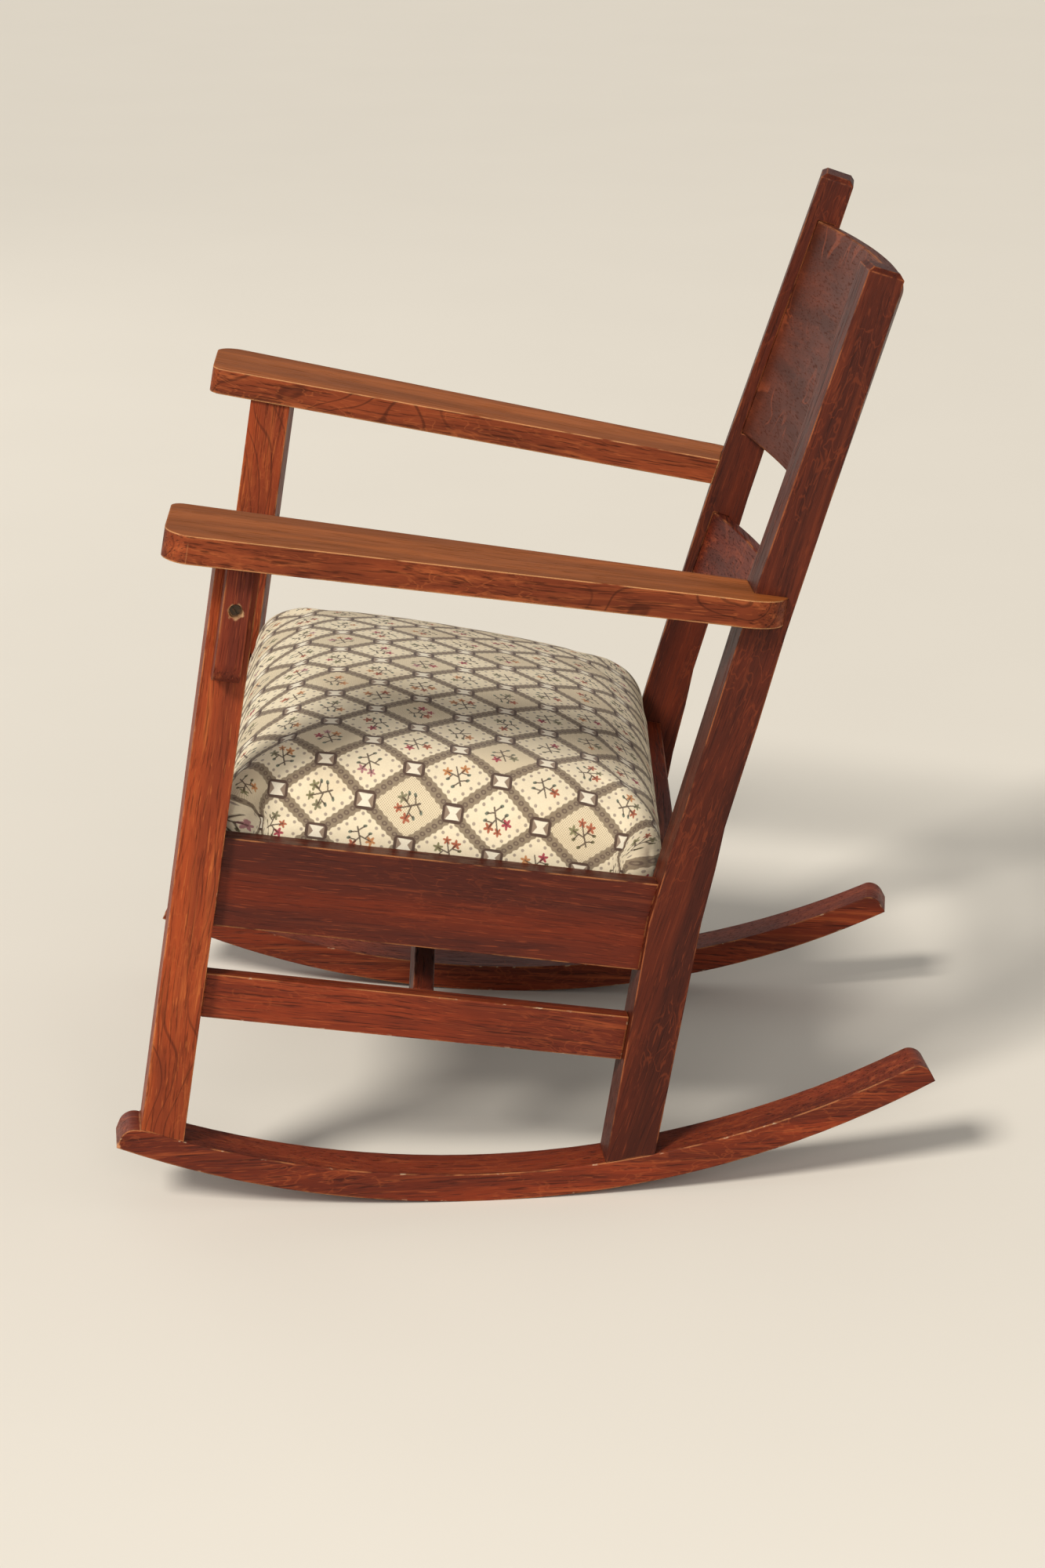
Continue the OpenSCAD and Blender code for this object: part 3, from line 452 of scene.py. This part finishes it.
def tapestry():
    """Cream ground, diagonal taupe bands between dark links, a sprig in every medallion."""
    t = Tree("tapestry")
    uv = t.n("ShaderNodeUVMap", uv_map="cloth")
    xyz = t.t.nodes.new("ShaderNodeSeparateXYZ")
    # Every stitch takes one colour
    t.put(xyz.inputs[0], uv)
    U = t.m("SNAP", t.m("MULTIPLY", xyz.outputs[0], 1000.0), STITCH)
    V = t.m("SNAP", t.m("MULTIPLY", xyz.outputs[1], 1000.0), STITCH)
    a = t.m("DIVIDE", t.m("ADD", t.m("ADD", U, SHIFT_U), t.m("MULTIPLY", V, LEAN)), PU)
    b = t.m("DIVIDE", t.m("ADD", V, SHIFT_V), PV)
    p = t.m("MULTIPLY", t.m("ADD", a, b), 0.5)
    q = t.m("MULTIPLY", t.m("SUBTRACT", a, b), 0.5)

    def to_line(x):
        return t.m("ABSOLUTE", t.m("SUBTRACT", x, t.m("ROUND", x)))

    dp, dq = to_line(p), to_line(q)
    per = 2 / math.sqrt(1 / PU ** 2 + 1 / PV ** 2)
    length = math.sqrt(PU ** 2 + PV ** 2)
    # Band along p = whole number and along q = whole number, with beads
    band = None
    bead = None
    for across, along in ((dp, q), (dq, p)):
        d = t.m("MULTIPLY", across, per)
        ph = t.m("MULTIPLY", along, float(BEADS))
        ripple = t.m("MULTIPLY", t.m("COSINE", t.m("MULTIPLY", ph, 2 * math.pi)), BAND_RIPPLE)
        bnd = t.step(t.m("ADD", d, ripple), BAND_OUT, BAND_IN)
        off = t.m("MULTIPLY", t.m("SUBTRACT", t.m("FRACT", t.m("ADD", ph, 0.5)), 0.5), length / BEADS)
        r = t.m("SQRT", t.m("ADD", t.m("MULTIPLY", d, d), t.m("MULTIPLY", off, off)))
        ring = t.step(t.m("ABSOLUTE", t.m("SUBTRACT", r, BEAD_R)), 1.0, 0.4)
        band = bnd if band is None else t.m("MAXIMUM", band, bnd)
        bead = ring if bead is None else t.m("MAXIMUM", bead, t.m("MULTIPLY", ring, bnd))
    # Link at every crossing
    pr, qr = t.m("ROUND", p), t.m("ROUND", q)
    lu = t.m("ABSOLUTE", t.m("MULTIPLY", t.m("SUBTRACT", a, t.m("ADD", pr, qr)), PU))
    lv = t.m("ABSOLUTE", t.m("MULTIPLY", t.m("SUBTRACT", b, t.m("SUBTRACT", pr, qr)), PV))
    box = t.m("MAXIMUM", t.m("SUBTRACT", lv, LINK_V), t.m("SUBTRACT", lu, LINK_U))
    rnd = t.m("SUBTRACT", t.m("ADD", lu, lv), LINK_CUT)
    shape = t.m("MAXIMUM", box, rnd)
    link = t.step(shape, 0.2, -0.2)
    inside = t.step(shape, LINK_IN, LINK_OUT)
    waist = t.m("ADD", WAIST, t.m("MULTIPLY", lu, WAIST_SLOPE))
    hour = t.m("MULTIPLY", inside, t.step(t.m("SUBTRACT", lv, waist), 0.3, -0.3))
    # Medallion centre
    pc = t.m("ADD", t.m("FLOOR", p), 0.5)
    qc = t.m("ADD", t.m("FLOOR", q), 0.5)
    mu = t.m("MULTIPLY", t.m("SUBTRACT", a, t.m("ADD", pc, qc)), PU)
    mv = t.m("MULTIPLY", t.m("SUBTRACT", b, t.m("SUBTRACT", pc, qc)), PV)
    cell = t.n("ShaderNodeCombineXYZ", {0: pc, 1: qc, 2: 0.0})

    def cell_random(k):
        wn = t.t.nodes.new("ShaderNodeTexWhiteNoise")
        wn.noise_dimensions = "3D"
        t.put(wn.inputs[0], t.v("ADD", cell, (k * 3.7, k * 1.9, k + 0.5)))
        return wn.outputs[0]

    # Dots round the sprig
    lp = t.m("MULTIPLY", t.m("SUBTRACT", p, pc), 6.0)
    lq = t.m("MULTIPLY", t.m("SUBTRACT", q, qc), 6.0)
    ip, iq = t.m("ROUND", lp), t.m("ROUND", lq)
    ep, eq = t.m("SUBTRACT", lp, ip), t.m("SUBTRACT", lq, iq)
    du = t.m("MULTIPLY", t.m("ADD", ep, eq), PU / 6)
    dv = t.m("MULTIPLY", t.m("SUBTRACT", ep, eq), PV / 6)
    rad = t.m("SQRT", t.m("ADD", t.m("MULTIPLY", du, du), t.m("MULTIPLY", dv, dv)))
    far = t.m("MAXIMUM", t.m("ABSOLUTE", ip), t.m("ABSOLUTE", iq))
    dots = t.m("MULTIPLY", t.step(rad, DOT_OUT, DOT_IN), t.m("COMPARE", far, 2.0, 0.1))
    # Every second medallion of every second row has the open net ground
    even_p = t.m("COMPARE", t.m("FLOORED_MODULO", pc, 2.0), 0.5, 0.1)
    even_q = t.m("COMPARE", t.m("FLOORED_MODULO", qc, 2.0), 0.5, 0.1)
    net = t.m("GREATER_THAN", t.m("MULTIPLY", even_p, even_q), 0.5)
    # Sprig: three flowers on a forked stem
    turn = t.m("MULTIPLY", t.m("FLOOR", t.m("MULTIPLY", cell_random(1), 4.0)), math.pi / 2)
    turn = t.m("ADD", turn, SPRIG_TURN)
    cs, sn = t.m("COSINE", turn), t.m("SINE", turn)
    fx = t.m("MULTIPLY", t.m("ADD", t.m("MULTIPLY", mu, cs), t.m("MULTIPLY", mv, sn)), SPRIG_SIZE)
    fy = t.m("MULTIPLY", t.m("SUBTRACT", t.m("MULTIPLY", mv, cs), t.m("MULTIPLY", mu, sn)), SPRIG_SIZE)

    def seg(x0, y0, x1, y1, w):
        dx, dy = x1 - x0, y1 - y0
        ll = dx * dx + dy * dy
        ax, ay = t.m("SUBTRACT", fx, x0), t.m("SUBTRACT", fy, y0)
        h = t.m("DIVIDE", t.m("ADD", t.m("MULTIPLY", ax, dx), t.m("MULTIPLY", ay, dy)), ll, clamp=True)
        ex = t.m("SUBTRACT", ax, t.m("MULTIPLY", h, dx))
        ey = t.m("SUBTRACT", ay, t.m("MULTIPLY", h, dy))
        d = t.m("SQRT", t.m("ADD", t.m("MULTIPLY", ex, ex), t.m("MULTIPLY", ey, ey)))
        return t.step(d, w + 0.25, w - 0.25)

    stem = None
    for line in STEMS:
        g = seg(*line)
        stem = g if stem is None else t.m("MAXIMUM", stem, g)
    ground = t.mix(net, CREAM, NET_CREAM)
    col = t.mix(t.m("MULTIPLY", dots, t.m("SUBTRACT", 1.0, net)), ground, DOT_BROWN)
    # Open net ground
    turns = 2 * math.pi / NET_PITCH
    hole = t.m("MULTIPLY", t.m("SINE", t.m("MULTIPLY", U, turns)), t.m("SINE", t.m("MULTIPLY", V, turns)))
    holes = t.m("MULTIPLY", t.step(hole, 0.25, 0.6), t.m("MULTIPLY", net, 0.85))
    knots = t.m("MULTIPLY", t.step(hole, -0.25, -0.6), t.m("MULTIPLY", net, 0.5))
    col = t.mix(holes, col, NET_HOLE)
    col = t.mix(knots, col, NET_THREAD)
    for i, (cx, cy, rr) in enumerate(FLOWERS):
        ax, ay = t.m("SUBTRACT", fx, cx), t.m("SUBTRACT", fy, cy)
        r = t.m("SQRT", t.m("ADD", t.m("MULTIPLY", ax, ax), t.m("MULTIPLY", ay, ay)))
        ang = t.m("MULTIPLY", t.m("ARCTAN2", ay, ax), PETALS)
        lim = t.m("ADD", rr * 0.80, t.m("MULTIPLY", t.m("COSINE", ang), rr * 0.30))
        fl = t.step(t.m("SUBTRACT", r, lim), 0.3, -0.3)
        hue = t.ramp(cell_random(i + 4), THREADS, "CONSTANT")
        keep = t.m("GREATER_THAN", cell_random(i + 9), 0.12 if i < 2 else 0.45)
        col = t.mix(t.m("MULTIPLY", fl, keep), col, hue)
        eye = t.m("MULTIPLY", t.step(r, 1.1, 0.7), keep)
        col = t.mix(t.m("MULTIPLY", eye, 0.7), col, EYE)
    leaf_hue = t.mix(t.step(cell_random(14), 0.4, 0.6), LEAF_A, LEAF_B)
    for cx, cy in LEAVES:
        ax = t.m("SUBTRACT", fx, cx)
        ay = t.m("MULTIPLY", t.m("SUBTRACT", fy, cy), 1.5)
        r = t.m("SQRT", t.m("ADD", t.m("MULTIPLY", ax, ax), t.m("MULTIPLY", ay, ay)))
        col = t.mix(t.step(r, 2.2, 1.7), col, leaf_hue)
    col = t.mix(t.m("MULTIPLY", stem, 0.9), col, STEM_BROWN)
    # Bands and links lie over the medallions
    stitch_uv = t.n("ShaderNodeCombineXYZ", {0: U, 1: V, 2: 0.0})
    band_col = t.mix(t.noise(stitch_uv, 0.9, 2), BAND_DARK, BAND_LIGHT)
    col = t.mix(band, col, band_col)
    col = t.mix(t.m("MULTIPLY", bead, t.m("MULTIPLY", band, 0.85)), col, BEAD_BROWN)
    col = t.mix(link, col, LINK_BROWN)
    col = t.mix(inside, col, LINK_TAN)
    col = t.mix(hour, col, LINK_CREAM)
    # Age: yellowed ground and soft soiling
    obj = t.n("ShaderNodeTexCoord", out=3)
    aged = t.noise(obj, 7.0, 3, 0.55)
    col = t.mix(t.m("MULTIPLY", t.step(aged, 0.50, 0.78), 0.28), col, YELLOWED, "MULTIPLY")
    stitch = t.n("ShaderNodeTexWhiteNoise", {"Vector": stitch_uv}, noise_dimensions="3D")
    col = t.mix(t.m("MULTIPLY", stitch, 0.20), col, SHADED, "MULTIPLY")
    # Weave relief: ribs one way, finer picks the other
    ribs = 2 * math.pi * 1000 / (2 * STITCH)
    fu = t.m("ABSOLUTE", t.m("SINE", t.m("MULTIPLY", xyz.outputs[0], ribs)))
    fv = t.m("ABSOLUTE", t.m("SINE", t.m("MULTIPLY", xyz.outputs[1], ribs)))
    rib = t.m("ADD", fu, t.m("MULTIPLY", fv, 0.8))
    relief = t.m("ADD", t.m("MULTIPLY", rib, 0.5), t.m("MULTIPLY", band, 0.8))
    relief = t.m("ADD", relief, t.m("MULTIPLY", link, 0.7))
    relief = t.m("ADD", relief, t.m("MULTIPLY", t.m("MAXIMUM", stem, dots), 0.5))
    return t.set(Base_Color=col, Roughness=0.92, Sheen_Weight=0.12, Sheen_Roughness=0.45,
                 Specular_IOR_Level=0.25, Normal=t.bump(relief, 0.0005, 0.6))


# ---------------------------------------------------------------- cushion
# Metres, in the seat's own plane: x across, r back along the pitched seat, h up from it
SEAT_H = 0.331
FRAME_HALF = 0.305
RAIL_IN, POST_IN = 0.0340, 0.044
FRONT_POST_BACK = -0.3269 + 0.0414
CLEAR = 0.0012
R0, R1 = -0.2939, 0.1296
MID = (R0 + R1) / 2
HALF_R = (R1 - R0) / 2
# Heights of the cover's edge, its crown and its lower edge, and the radius of its roll
EDGE, CROWN, LOW = 0.058, 0.098, -0.0395
ROLL = 0.038
HEM = 0.010
CELLS = (76, 56, 16)
# How far the cover may stand over the rails, and over what height it gets there
PROUD, PROUD_START, PROUD_RISE = 0.006, 0.002, 0.02
# Front corners' pleat: how far back and in from the corner it reaches, and where it starts and ends in height
PLEAT_BACK, PLEAT_IN, PLEAT_LOW, PLEAT_TOP = 0.070, 0.025, 0.006, 0.050
# Its groove and puff: distance behind the corner, lean and width, then how deep or high
GROOVE, GROOVE_DEPTH = (0.021, 0.35, 0.0055), 0.0100
PUFF, PUFF_HEIGHT = (0.006, 0.20, 0.0090), 0.0050
# How flat the crown is across and along the seat, and how softly it falls off
CROWN_ACROSS, CROWN_ALONG, CROWN_FALL = 2.0, 2.4, 0.75


def seat_half(r):
    """Half the seat opening's width at r."""
    return FRAME_HALF - RAIL_IN / math.cos(SPLAY) - r * math.tan(SPLAY)


def seat_point(x, r, h):
    y = r * math.cos(PITCH) + h * math.sin(PITCH)
    z = SEAT_H - r * math.sin(PITCH) + h * math.cos(PITCH)
    return Vector((x, y, z))


def to_seat(v):
    y, z = v.y, v.z - SEAT_H
    return v.x, y * math.cos(PITCH) - z * math.sin(PITCH), y * math.sin(PITCH) + z * math.cos(PITCH)


def cushion_grid():
    """A box of quads mapped to a rounded, crowned cushion, with its cloth coordinates."""
    nx, ny, nz = CELLS
    bm = bmesh.new()
    cloth = {}
    made = {}
    inner_r = HALF_R - ROLL

    def vert(i, j, k):
        key = (i, j, k)
        if key in made:
            return made[key]
        X, Y, Z = 2 * i / nx - 1, 2 * j / ny - 1, k / nz
        # The nearest point of a smaller box, which the roll is swept round
        r = Y * HALF_R
        half = seat_half(MID + r)
        x = X * half
        z = LOW + Z * (EDGE - LOW)
        qr = max(-inner_r, min(inner_r, r))
        qx = max(-(half - ROLL), min(half - ROLL, x))
        qz = max(LOW + HEM, min(EDGE - ROLL, z))
        d = Vector((x - qx, r - qr, z - qz))
        if z < LOW + HEM:
            n = Vector((d.x, d.y, 0))
            n = n.normalized() if n.length > 1e-9 else Vector((0, 0, 0))
            pos = Vector((qx, qr, z)) + n * min(ROLL, max(abs(d.x), abs(d.y)))
            nn = Vector((n.x, n.y, 0))
        else:
            nn = d.normalized() if d.length > 1e-9 else Vector((0, 0, 1))
            pos = Vector((qx, qr, qz)) + nn * ROLL
            if k < nz and abs(X) < 1 and abs(Y) < 1:
                pos = Vector((x, r, z))
        if nn.z > 0.02:
            ex = max(0.0, 1 - abs(pos.x / half) ** CROWN_ACROSS)
            ey = max(0.0, 1 - abs(pos.y / HALF_R) ** CROWN_ALONG)
            pos.z += (CROWN - EDGE) * (ex * ey) ** CROWN_FALL
        tx = math.atan2(abs(nn.x), max(nn.z, 1e-6)) if abs(nn.x) > 1e-6 else 0
        ty = math.atan2(abs(nn.y), max(nn.z, 1e-6)) if abs(nn.y) > 1e-6 else 0
        drop = max(0.0, (EDGE - ROLL) - pos.z) if nn.z < 0.02 else 0.0
        u = qx * seat_half(MID) / half + math.copysign(ROLL * tx + drop * abs(nn.x), x)
        v = qr + math.copysign(ROLL * ty + drop * abs(nn.y), r)
        bv = bm.verts.new(seat_point(pos.x, MID + pos.y, pos.z))
        made[key] = bv
        cloth[bv] = (u, v)
        return bv

    def face(*ks):
        bm.faces.new([vert(*k) for k in ks])

    for i in range(nx):
        for j in range(ny):
            face((i, j, nz), (i + 1, j, nz), (i + 1, j + 1, nz), (i, j + 1, nz))
            face((i, j, 0), (i, j + 1, 0), (i + 1, j + 1, 0), (i + 1, j, 0))
    for i in range(nx):
        for k in range(nz):
            face((i, 0, k), (i + 1, 0, k), (i + 1, 0, k + 1), (i, 0, k + 1))
            face((i, ny, k), (i, ny, k + 1), (i + 1, ny, k + 1), (i + 1, ny, k))
    for j in range(ny):
        for k in range(nz):
            face((0, j, k), (0, j, k + 1), (0, j + 1, k + 1), (0, j + 1, k))
            face((nx, j, k), (nx, j + 1, k), (nx, j + 1, k + 1), (nx, j, k + 1))
    bm.verts.index_update()
    uv = [cloth[v] for v in bm.verts]
    me = bpy.data.meshes.new("seat_cushion")
    bm.to_mesh(me)
    bm.free()
    layer = me.uv_layers.new(name="cloth")
    for lp in me.loops:
        layer.data[lp.index].uv = uv[lp.vertex_index]
    return me


# The cover is held below the first height while it swells, and partly held below the second
HELD, EASED, EASED_SHARE = 0.004, 0.02, 0.25


def relax(me, frames=20, cap=0.005):
    """Blows the cover up like a tight stuffed seat, with its lower edge held."""
    rest = [v.co.copy() for v in me.vertices]
    o = bpy.data.objects.new("inflate", me.copy())
    SCENE.collection.objects.link(o)
    g = o.vertex_groups.new(name="held")
    for i, c in enumerate(rest):
        h = to_seat(c)[2]
        if h < HELD:
            g.add([i], 1.0, "REPLACE")
        elif h < EASED:
            g.add([i], EASED_SHARE, "REPLACE")
    mod = o.modifiers.new("cloth", "CLOTH")
    s = mod.settings
    s.quality = 6
    s.mass = 0.35
    s.tension_stiffness = 18
    s.compression_stiffness = 18
    s.shear_stiffness = 8
    s.bending_stiffness = 0.8
    s.use_pressure = True
    s.uniform_pressure_force = 4.0
    s.vertex_group_mass = "held"
    s.effector_weights.gravity = 0.0
    mod.collision_settings.use_collision = False
    mod.collision_settings.use_self_collision = False
    for f in range(1, frames + 1):
        SCENE.frame_set(f)
    dg = bpy.context.evaluated_depsgraph_get()
    ev = o.evaluated_get(dg)
    moved = [v.co.copy() for v in ev.data.vertices]
    SCENE.frame_set(1)
    bpy.data.objects.remove(o)
    for v, a, b in zip(me.vertices, rest, moved):
        d = b - a
        if d.length > cap:
            d = d * (cap / d.length)
        v.co = a + d


def fold(r, h, at, lean, width):
    """1 on the line of a fold that starts at the front corner, falling to 0 beside it."""
    return math.exp(-((r - R0 - at - lean * h) / width) ** 2)


def keep_out(me):
    """Where the cover meets the posts and rails it is pressed in, and stays inside the seat opening below."""
    for v in me.vertices:
        x, r, h = to_seat(v.co)
        s = 1 if x > 0 else -1
        half = seat_half(r)
        # A pleat at each front corner: a groove down the side with a puff before it
        if r < R0 + PLEAT_BACK and abs(x) > half - PLEAT_IN and h > 0:
            fade = min(1.0, h / PLEAT_LOW) * max(0.0, 1 - h / PLEAT_TOP)
            x += s * (PUFF_HEIGHT * fold(r, h, *PUFF) - GROOVE_DEPTH * fold(r, h, *GROOVE)) * fade
        if h < PROUD_START:
            x = s * min(abs(x), half)
            r = min(max(r, R0), R1)
        else:
            proud = PROUD * min(1.0, (h - PROUD_START) / PROUD_RISE)
            x = s * min(abs(x), half + proud)
            r = min(max(r, R0 - proud), R1 + proud)
        # Posts: the inner face of each, and how far each reaches over the seat
        y = seat_point(x, r, h).y
        inner = FRAME_HALF - POST_IN / math.cos(SPLAY) - y * math.tan(SPLAY) - CLEAR
        front = FRONT_POST_BACK + CLEAR
        px, pr = abs(x) - inner, front - r
        if px > 0 and pr > 0:
            if px < pr:
                x = s * inner
            else:
                r = front
        # The rear post's front face leans back with height, and more above its bend. These two straight
        # lines stay a little in front of it
        z = seat_point(x, r, h).z
        at, slope = (0.0706, 0.1637) if z < 0.3415 else (0.0132, 0.3318)
        y_face = (at + slope * z) * math.cos(SPLAY) - CLEAR
        if y > y_face and abs(x) > inner:
            if abs(x) - inner < y - y_face:
                x = s * inner
            else:
                r -= (y - y_face) / math.cos(PITCH)
        v.co = seat_point(x, r, h)


cushion_mesh = cushion_grid()
relax(cushion_mesh)
keep_out(cushion_mesh)
cushion = bpy.data.objects.new("seat_cushion", cushion_mesh)
SCENE.collection.objects.link(cushion)
for p in cushion_mesh.polygons:
    p.use_smooth = True
cushion_mesh.materials.append(tapestry())
sub = cushion.modifiers.new("round", "SUBSURF")
sub.levels = 1
sub.render_levels = 1
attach(cushion, "root")
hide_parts("seat_cover", "seat_padding")


# ---------------------------------------------------------------- floor, light and camera
def plain(name, col, rough=0.8):
    """Matt paint with a faint unevenness."""
    t = Tree(name)
    co = t.n("ShaderNodeTexCoord", out=3)
    c = t.mix(t.noise(co, 3.0, 3), darker(col, 0.97), col)
    return t.set(Base_Color=c, Roughness=rough, Specular_IOR_Level=0.2)


FLOOR = 14
fm = bpy.data.meshes.new("floor")
fm.from_pydata([(-FLOOR, -FLOOR, 0), (FLOOR, -FLOOR, 0), (FLOOR, FLOOR, 0), (-FLOOR, FLOOR, 0)],
               [], [(0, 1, 2, 3)])
floor = bpy.data.objects.new("floor", fm)
fm.materials.append(plain("floor_paint", (0.76, 0.72, 0.65)))
SCENE.collection.objects.link(floor)


def area(name, pos, target, size, power, col):
    d = bpy.data.lights.new(name, "AREA")
    d.shape = "RECTANGLE"
    d.size, d.size_y = size
    d.energy = power
    d.color = col
    o = bpy.data.objects.new(name, d)
    SCENE.collection.objects.link(o)
    o.location = pos
    o.rotation_euler = (Vector(target) - Vector(pos)).to_track_quat("-Z", "Y").to_euler()


KEY_AIM = (-0.62, 0.46, -0.66)
sun = bpy.data.lights.new("key", "SUN")
sun.energy = 3.0
sun.angle = math.radians(14)
sun.color = (1.0, 0.95, 0.87)
key = bpy.data.objects.new("key", sun)
SCENE.collection.objects.link(key)
key.rotation_euler = Vector(KEY_AIM).to_track_quat("-Z", "Y").to_euler()
area("fill", (4.2, 0.0, 2.0), (0, 0, 0.4), (2.4, 1.8), 55, (1.0, 0.97, 0.93))
area("window", (-3.4, -2.8, 1.7), (0, 0, 0.5), (2.6, 2.6), 18, (1.0, 0.96, 0.91))
world = bpy.data.worlds.new("studio")
SCENE.world = world
world.use_nodes = True
bg = world.node_tree.nodes.get("Background")
bg.inputs[0].default_value = (0.90, 0.88, 0.84, 1)
bg.inputs[1].default_value = 0.40

cam_data = bpy.data.cameras.new("camera")
cam_data.lens = 94.41
cam_data.sensor_width = 36
cam = bpy.data.objects.new("camera", cam_data)
SCENE.collection.objects.link(cam)
CAMERA_AT = (3.945, -0.032, 1.5995)
down, yaw = math.radians(17.96), math.radians(0.435)
look = Vector((-math.cos(down) * math.cos(yaw), math.cos(down) * math.sin(yaw), -math.sin(down)))
turn = look.to_track_quat("-Z", "Y").to_matrix().to_4x4()
cam.matrix_world = Matrix.Translation(CAMERA_AT) @ turn
SCENE.camera = cam
SCENE.view_settings.view_transform = "Standard"

bpy.context.view_layer.update()
